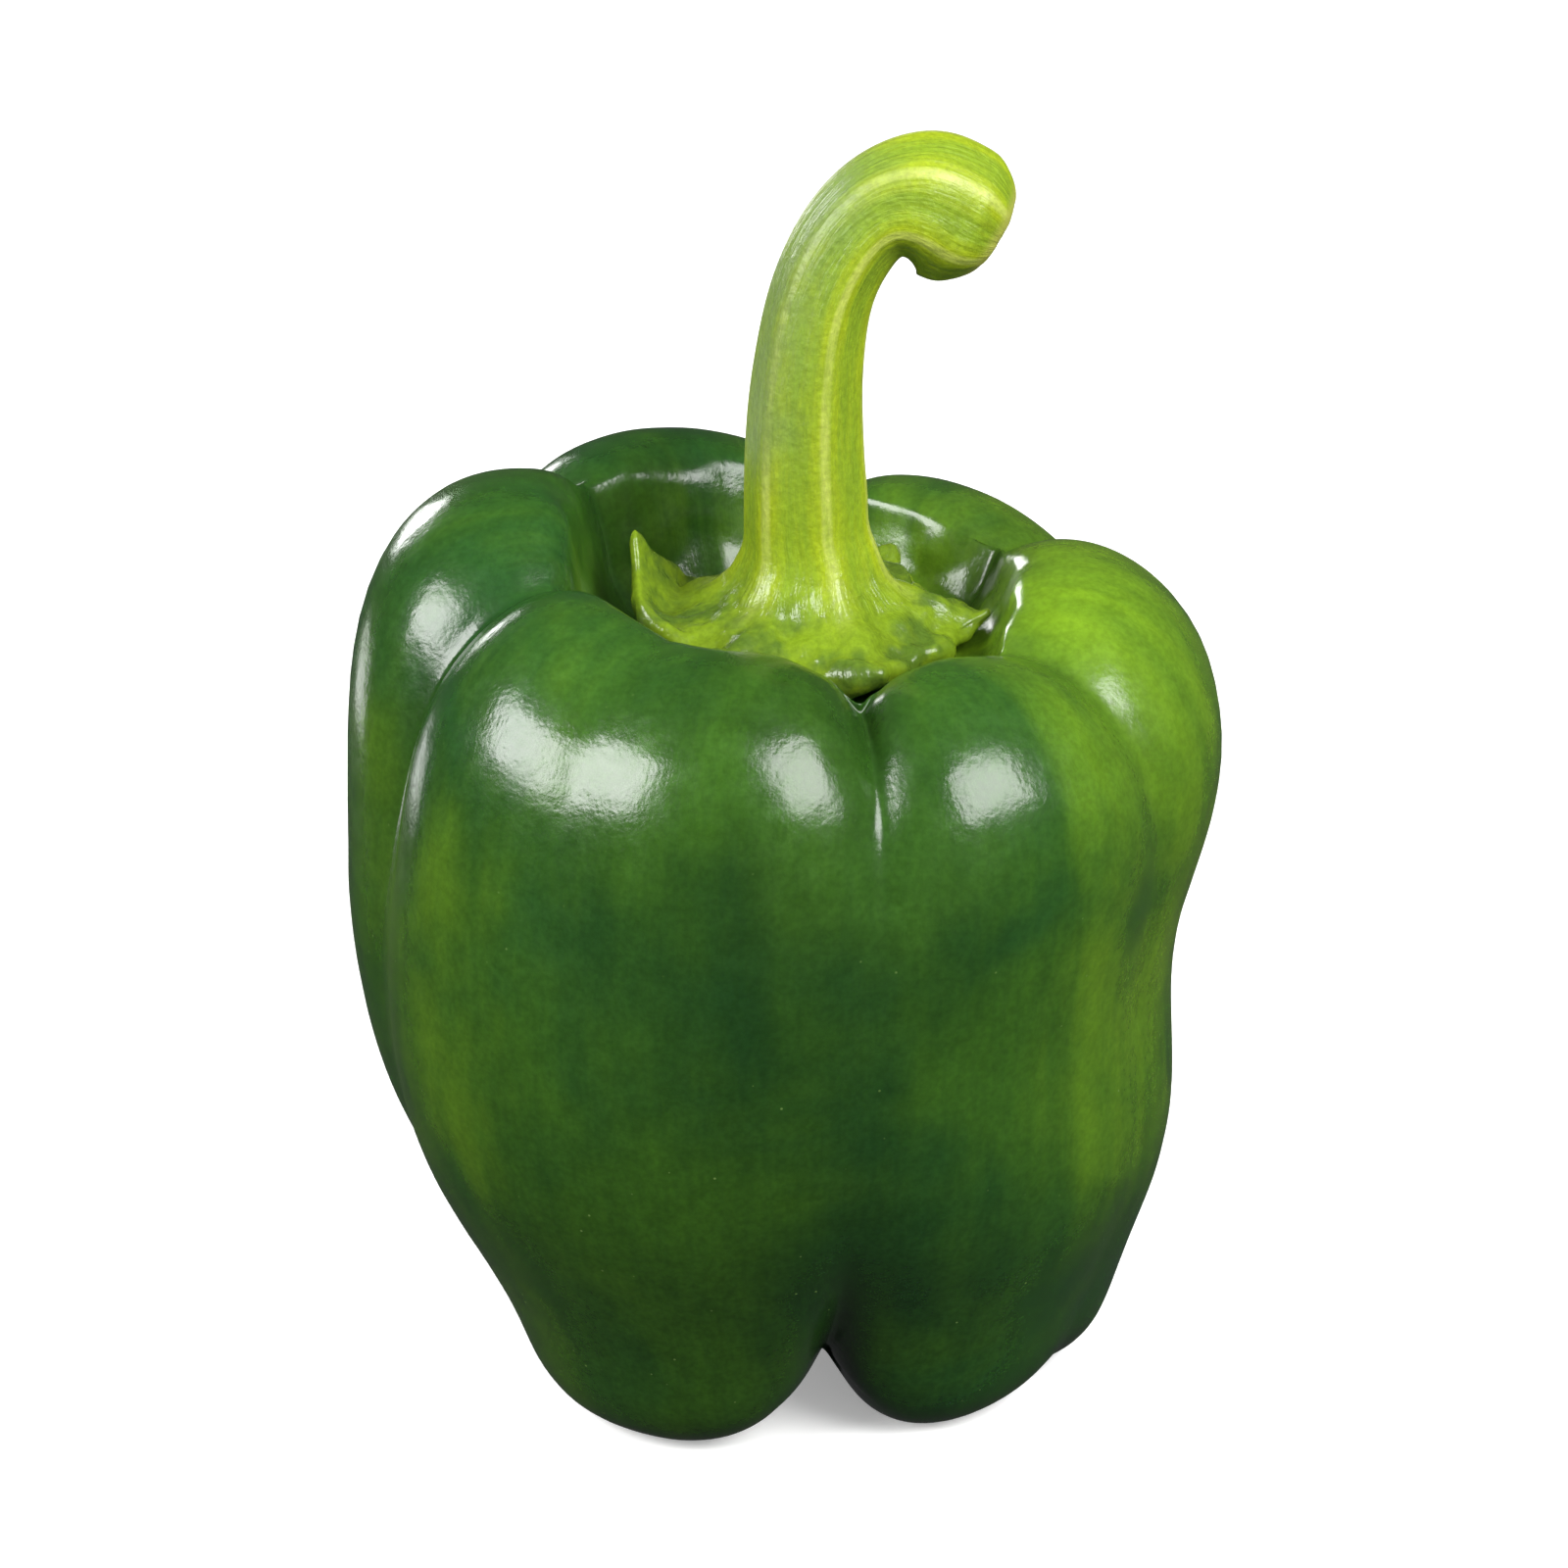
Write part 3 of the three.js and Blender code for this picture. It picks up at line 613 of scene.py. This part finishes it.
def make_skin_material():
    """The colour is laid on from the deepest layer to the topmost one."""
    material, tree, shader = new_material("skin")
    place = add_node(tree, "ShaderNodeTexCoord").outputs["Object"]
    grain = read(tree, "grain", "Vector")
    streaks = noise_of(tree, grain, STREAK_SCALE, 3.0, 0.55)
    threads = noise_of(tree, grain, THREAD_SCALE, 2.0, 0.6)
    clouds = noise_of(tree, place, CLOUD_SCALE, 3.0, 0.55, 0.4)
    mottle = noise_of(tree, place, MOTTLE_SCALE, 3.0, 0.65)
    grit = noise_of(tree, place, GRIT_SCALE, 2.0, 0.6)

    # Streaks, threads and clouds share out the greens.
    leafy = ramp(tree, streaks, 0.3, 0.7, 0, 0.35)
    leafy = calculate(tree, "ADD", leafy, ramp(tree, threads, 0.3, 0.7, 0, 0.15))
    leafy = calculate(tree, "ADD", leafy, ramp(tree, clouds, 0.7, 0.3, 0, 0.5))
    base = blend_colours(tree, leafy, DEEP_GREEN, LEAF_GREEN)
    base = blend_colours(tree, ramp(tree, clouds, 0.45, 0.75, 0, 0.6), base, COOL_GREEN)

    # The sun value turns the green warm where it is high and makes it darker where it is low, most on the
    # front lobe. The furrows and the space between the feet are darkened with painted shade.
    sun = calculate(tree, "ADD", read(tree, "sun"), ramp(tree, clouds, 0.7, 0.3, -0.14, 0.14))
    base = shaded(tree, base, ramp(tree, sun, -0.25, 0.25, 0.6, 1.0))
    sun = calculate(tree, "ADD", sun, ramp(tree, streaks, 0.3, 0.7, -0.08, 0.08))
    base = blend_colours(tree, ramp(tree, sun, 0.25, 1.05), base, SUNNY_GREEN)
    # Painted shade: the furrows are darkened towards the deep green.
    base = blend_colours(tree, ramp(tree, read(tree, "furrow"), 0.2, 1.0, 0, 0.35), base, DEEP_GREEN)
    # Painted shade: near the feet the deepest furrows turn near-black, where the space between the feet lies
    # in shade.
    low = calculate(tree, "MULTIPLY", read(tree, "furrow"), ramp(tree, read(tree, "down"), 0.72, 0.95))
    base = blend_colours(tree, ramp(tree, low, 0.12, 0.6, 0, 0.95), base, FEET_GAP_SHADE_GREEN)
    base = shaded(tree, base, ramp(tree, mottle, 0.25, 0.75, 0.9, 1.1))
    base = shaded(tree, base, ramp(tree, grit, 0.25, 0.75, 0.88, 1.12))

    # Pores come in patches, more of them lower down. The navel ends in a dry scar.
    pores = add_node(tree, "ShaderNodeTexVoronoi", {"Vector": place, "Scale": PORE_SCALE, "Randomness": 1.0})
    dots = ramp(tree, pores.outputs["Distance"], 0.07, 0.03, 0, 0.9)
    some = ramp(tree, noise_of(tree, place, PORE_PATCH_SCALE, 1.0), 0.48, 0.6)
    lower = ramp(tree, read(tree, "down"), 0.15, 0.6, 0.15, 1)
    dots = calculate(tree, "MULTIPLY", dots, calculate(tree, "MULTIPLY", some, lower))
    base = blend_colours(tree, dots, base, PORE_COLOUR)
    base = blend_colours(tree, ramp(tree, read(tree, "down"), *SCAR_EDGE), base, SCAR_COLOUR)
    tree.links.new(base, shader.inputs["Base Color"])

    # The wax has a grain of its own.
    tree.links.new(ramp(tree, mottle, 0.3, 0.7, *WAX_ROUGHNESS), shader.inputs["Roughness"])
    make_fleshy(shader, refraction=1.47, weight=0.12, radius=(0.6, 1.0, 0.2), scale=1.5 * MM)
    layers = [
        (threads, THREAD_DEPTH),
        (noise_of(tree, place, PEEL_SCALE, 2.0, 0.5), PEEL_DEPTH),
        (noise_of(tree, place, FINE_PEEL_SCALE, 2.0, 0.5), FINE_PEEL_DEPTH),
    ]
    tree.links.new(stack_bumps(tree, layers), shader.inputs["Normal"])
    return material


fruit.data.materials.append(make_skin_material())
print("skin: finish made")

# %% [markdown]
# ## The stem
# The stem is a ribbed stalk that stands up out of the pit and bends over to the right, where it was cut. A
# curve with a round bevel would give a plain tube of one thickness. Sections along the bend, each with its
# own size and lean, give the ribs, the slim neck and the swollen end. The rings over the cut end are given
# as their share of the stem's radius and how far they lie beyond its end.

# %% The stem's sections
STEM_STEPS = 8
STEM_X = [0.4, 0.2, 0.7, 2.1, 5.0, 8.6, 12.2, 14.9]
STEM_Y = [0, 0, 0, 0.3, 0.9, 1.8, 2.9, 3.8]
STEM_Z = [92, 102, 110, 117, 122.6, 125.4, 125.2, 123.6]
STEM_RADIUS = [6.15, 5.7, 5.25, 4.95, 5.0, 5.5, 6.6, 6.9]
STEM_LEAN = [0, 1, 8, 20, 43, 76, 100, 121]
STEM_BANDS = 24
RIB_COUNT = 6
RIB_HEIGHT = 0.035
RIB_DIRECTION = 50
CUT_RINGS = [(0, 4.7), (0.3, 4.8), (0.54, 4.7), (0.84, 3.0), (0.97, 1.4)]


def rib_swell(direction):
    """The stem's radius swells in line with each rib."""
    return 1 + RIB_HEIGHT * np.cos(np.radians(RIB_COUNT * (direction - RIB_DIRECTION)))


def stem_section(direction, step, size, beyond):
    """One ring of the stem at a step along it, sized and moved on beyond its end."""
    weights = spline_weights(np.arange(STEM_STEPS) * 1.0, np.array([step]))[0][0]
    lists = (STEM_X, STEM_Y, STEM_Z, STEM_RADIUS, STEM_LEAN)
    x, y, z, radius, lean = (float(weights @ np.array(values)) for values in lists)
    tilt, angle = math.radians(lean), np.radians(direction)
    reach = radius * size * rib_swell(direction)
    return np.stack([
        x + beyond * math.sin(tilt) + reach * np.cos(angle) * math.cos(tilt),
        y + reach * np.sin(angle),
        z + beyond * math.cos(tilt) - reach * np.cos(angle) * math.sin(tilt),
    ], axis=1)


def stem_rings(direction):
    """Rings from the cut end down to the stem's foot."""
    cut = [stem_section(direction, STEM_STEPS - 1.0, size, beyond) for size, beyond in CUT_RINGS]
    steps = (STEM_STEPS - 1) * (1 - np.arange(STEM_BANDS + 1) / STEM_BANDS)
    return cut + [stem_section(direction, step, 1, 0) for step in steps]


print("stem:", STEM_STEPS, "sections with", RIB_COUNT, "ribs")

# %% [markdown]
# ## The calyx
# The stem's foot spreads into the calyx, the star of sepals that once held the flower. Its teeth are no
# separate leaves: the rim simply reaches further out and stands higher in their directions, so the skin stays
# whole. A row of the teeth holds direction, length, half-width and rise, and a row of the flare radius and
# height. A ring of the rim has its share of the radius, of the thickness and of the rise. At the left three
# teeth overlap in a broad flap that stands up towards the pit's wall and ends in a spike.

# %% The calyx
CALYX_CENTRE = (0.7, 0)
CALYX_GAP = 0.6
CALYX_RADIUS = [14.9, 14.2, 13.0, 12.4, 16.0, 15.4, 15.0, 15.0]
CALYX_THICKNESS = 2.4
TEETH = [
    (358, 3.8, 18, 0.5), (59, 3.6, 17, 1.6), (106, 3.4, 17, 0.4), (176, 1.5, 44, 7.2),
    (180, 0.6, 8, 2.4), (202, 1.8, 24, 1.5), (238, 3.0, 18, 1.2), (294, 3.0, 18, 0.6),
]
TOOTH_POINT = 1.4
BUTTRESS_HEIGHT = 0.8
RIB_GROWTH = 1
FLARE = [(6.5, 89.9), (7.2, 87.8), (8.4, 85.9), (10.0, 84.6), (11.9, 83.7)]
RIM_RINGS = [(0.9, 1.0, 0.55), (0.97, 0.8, 1), (1, 0.45, 0.95), (0.98, 0, 0.8), (0.92, 0, 0.2), (0.5, 0, 0)]


def teeth_at(direction):
    """How far the teeth reach out and rise, and how near the middle of one a direction is, from 0 to 1."""
    reach, rise, nearness = (np.zeros_like(direction) for _ in range(3))
    for middle, tooth_length, width, tooth_rise in TEETH:
        share = np.maximum(1 - np.abs((direction - middle + 180) % 360 - 180) / width, 0)
        reach += tooth_length * share**TOOTH_POINT
        rise += tooth_rise * share**TOOTH_POINT
        nearness = np.maximum(nearness, share)
    return reach, rise, nearness


def calyx_ring(direction, radius, height):
    angle = np.radians(direction)
    x = CALYX_CENTRE[0] + radius * np.cos(angle)
    y = CALYX_CENTRE[1] + radius * np.sin(angle)
    return np.stack([x, y, height + 0 * direction], axis=1)


def calyx_rings(direction):
    """Rings from the stem's foot over the toothed rim to the middle of the underside."""
    reach, rise, share = teeth_at(direction)
    rings = []
    for index, (radius, height) in enumerate(FLARE):
        spread = (index + 1) / len(FLARE)
        ribbed = radius * (1 + (rib_swell(direction) - 1) * (1 + RIB_GROWTH * spread))
        rings.append(calyx_ring(direction, ribbed, height + BUTTRESS_HEIGHT * spread * share))
    for size, thickness, lifted in RIM_RINGS:
        radius = (around(CALYX_RADIUS, direction) + reach) * size
        beyond = np.maximum(radius - PIT_FLAT_RADIUS, 0) / (PIT_RIM_RADIUS - PIT_FLAT_RADIUS)
        height = PIT_HEIGHT + PIT_RIM_RISE * beyond**PIT_FLOOR_CURVE + CALYX_GAP
        rings.append(calyx_ring(direction, radius, height + rise * lifted + CALYX_THICKNESS * thickness))
    rings.append(calyx_ring(direction, 0, PIT_HEIGHT + CALYX_GAP))
    return rings


print("calyx:", len(TEETH), "teeth")

# %% [markdown]
# ## One skin over all rings
# Stem and calyx are one grown piece, so they are one closed skin too: a ball again, whose poles are the cut
# end and the calyx's underside. A spline through the rings, column by column, turns the few rings of the
# construction into a fine grid. The stem then gets what a stalk has: fibres that stand out along it. The
# calyx gets the lumps of a piece that dried while it grew.

# %% One skin over all rings
STEM_COLUMNS = 216
STEM_ROWS = 260
STEM_GIRTH_RADIUS = 6
FIBRE_SCALE = 1.1
FIBRE_HEIGHT = 0.06 * MM
LUMP_SIZES = [(4.2 * MM, 1.5 * MM), (1.9 * MM, 0.7 * MM)]
LUMPS_FROM = 88 * MM
LUMPS_FADE = 6 * MM
CUT_EDGE_RING = 3
BLOOM_AND_SHEEN_DIRECTION = 205

column_angles = np.arange(STEM_COLUMNS) * 360 / STEM_COLUMNS
rings = np.array(stem_rings(column_angles) + calyx_rings(column_angles))
steps = np.linalg.norm(np.diff(rings, axis=0), axis=2).mean(axis=1)
ring_places = np.concatenate([[0], np.cumsum(steps)])
fine_places = np.linspace(0, ring_places[-1], STEM_ROWS + 1)
weights = spline_weights(ring_places, fine_places)[0]
fine_rings = np.einsum("rk,kcx->rcx", weights, rings)
fine_rings[0] = rings[0]
fine_rings[-1] = rings[-1]

stem_form, stem_column, stem_row = ball_grid(STEM_COLUMNS, STEM_ROWS)
stem_points = fine_rings[stem_row, stem_column]
for vert, point in zip(stem_form.verts, stem_points):
    vert.co = AXIS + Vector(point) * MM
stem_form.normal_update()
stem_place = fine_places[stem_row]
stem_direction = column_angles[stem_column]
stem_foot_place = ring_places[len(CUT_RINGS) + STEM_BANDS]
stem_grain = grain_along(stem_direction, stem_place, STEM_GIRTH_RADIUS)
stem_normals = [vert.normal.copy() for vert in stem_form.verts]
for vert, normal, grain_point in zip(stem_form.verts, stem_normals, stem_grain):
    fibre = noise.noise(Vector(grain_point) * FIBRE_SCALE) * FIBRE_HEIGHT
    low = min(max((LUMPS_FROM - vert.co.z) / LUMPS_FADE, 0), 1)
    vert.co += normal * (fibre + low * swell(vert.co, LUMP_SIZES))

stem_values = {
    "along": np.clip((stem_foot_place - stem_place) / stem_foot_place, -1, 1),
    "rib": np.cos(np.radians(RIB_COUNT * (stem_direction - RIB_DIRECTION))),
    "cut": np.clip((ring_places[CUT_EDGE_RING] - stem_place) / ring_places[CUT_EDGE_RING], 0, 1),
    # The wax value marks the side that carries a bloom of wax and a painted sheen, facing the front-left
    # lamp.
    "wax": np.clip(np.cos(np.radians(stem_direction - BLOOM_AND_SHEEN_DIRECTION)), 0, 1),
}
stem = finish_mesh(stem_form, "stem_and_calyx", stem_values, {"grain": stem_grain})

# %% [markdown]
# ## The stem's finish
# Bright yellow-green runs along the ribs, and fresher green lies between them. A pale tint along the rib
# crests is a painted highlight. On its left side, which faces the front-left lamp, the stalk is greyed by a
# bloom of wax and by a painted sheen. The calyx is darker, glossier and pitted. Two materials would leave a
# hard border between stalk and calyx, where the real one changes over a few millimetres, so one finish blends
# from the first into the second along the stem.

# %% The stem's finish
STEM_GREEN = (0.14, 0.215, 0.010, 1)
STEM_YELLOW = (0.22, 0.28, 0.006, 1)
RIDGE_HIGHLIGHT_PALE = (0.36, 0.40, 0.10, 1)
BLOOM_AND_SHEEN_GREY = (0.115, 0.18, 0.040, 1)
CALYX_GREEN = (0.115, 0.18, 0.008, 1)
CALYX_DARK = (0.055, 0.10, 0.010, 1)
CUT_COLOUR = (0.27, 0.29, 0.05, 1)
FIBRE_STREAK_SCALE = 1.0
SPECK_SCALE = 1500
BLOOM_SCALE = 180
WRINKLE_SCALE = 2.4
PIT_SCALE = 900
FINE_PIT_SCALE = 2600
WRINKLE_DEPTH = 0.16 * MM
PIT_DEPTH = 0.12 * MM
FINE_PIT_DEPTH = 0.03 * MM
STEM_ROUGHNESS = (0.24, 0.42)


def make_stem_material():
    """The stalk's colours first, then the calyx below it and the cut end above it."""
    material, tree, shader = new_material("stem")
    place = add_node(tree, "ShaderNodeTexCoord").outputs["Object"]
    grain = read(tree, "grain", "Vector")
    fibres = noise_of(tree, grain, FIBRE_STREAK_SCALE, 4.0, 0.6)
    specks = noise_of(tree, place, SPECK_SCALE, 3.0, 0.7)
    clouds = noise_of(tree, place, BLOOM_SCALE, 3.0, 0.6)
    rib = read(tree, "rib")
    along = read(tree, "along")

    yellow = ramp(tree, rib, -0.6, 0.8, 0, 0.6)
    yellow = calculate(tree, "ADD", yellow, ramp(tree, fibres, 0.3, 0.7, -0.2, 0.4))
    base = blend_colours(tree, yellow, STEM_GREEN, STEM_YELLOW)
    # Painted highlight: a pale tint along the crests of the ribs.
    ridge_highlight = calculate(tree, "MULTIPLY", ramp(tree, rib, 0.75, 1.0), ramp(tree, fibres, 0.2, 0.6, 0.3, 1))
    base = blend_colours(tree, calculate(tree, "MULTIPLY", ridge_highlight, 0.5), base, RIDGE_HIGHLIGHT_PALE)
    # Bloom of wax and painted sheen: grey on the side that faces the front-left lamp, broken up by clouds.
    wax = calculate(tree, "MULTIPLY", read(tree, "wax"), ramp(tree, along, 0.0, 0.25))
    wax = calculate(tree, "MULTIPLY", wax, ramp(tree, along, 0.8, 0.6))
    wax = calculate(tree, "MULTIPLY", wax, ramp(tree, clouds, 0.3, 0.7, 0.6, 1))
    base = blend_colours(tree, ramp(tree, wax, 0.1, 0.9, 0, 0.8), base, BLOOM_AND_SHEEN_GREY)
    calyx = blend_colours(tree, ramp(tree, clouds, 0.42, 0.62), CALYX_GREEN, CALYX_DARK)
    base = blend_colours(tree, ramp(tree, along, -0.03, -0.2), base, calyx)
    base = shaded(tree, base, ramp(tree, specks, 0.25, 0.75, 0.84, 1.16))
    base = blend_colours(tree, ramp(tree, read(tree, "cut"), 0.0, 0.3), base, CUT_COLOUR)
    tree.links.new(base, shader.inputs["Base Color"])

    tree.links.new(ramp(tree, along, -0.2, 0.15, *STEM_ROUGHNESS), shader.inputs["Roughness"])
    make_fleshy(shader, refraction=1.45, weight=0.15, radius=(0.8, 1.0, 0.25), scale=1.2 * MM)
    layers = [
        (noise_of(tree, grain, WRINKLE_SCALE, 3.0), WRINKLE_DEPTH),
        (noise_of(tree, place, PIT_SCALE, 3.0, 0.6), PIT_DEPTH),
        (noise_of(tree, place, FINE_PIT_SCALE, 2.0, 0.5), FINE_PIT_DEPTH),
    ]
    tree.links.new(stack_bumps(tree, layers), shader.inputs["Normal"])
    return material


stem.data.materials.append(make_stem_material())
print("stem: finish made")

# %% [markdown]
# ## Each piece takes its place on the construction
# A pepper has no moving part. Both fine pieces move with the one body of the construction, and each takes the
# place of its plain solid.

# %% Each piece takes its place on the construction
for piece, node, slot in ((fruit, "fruit", "skin"), (stem, "stem_calyx", "stem")):
    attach(piece, "root")
    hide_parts(node)
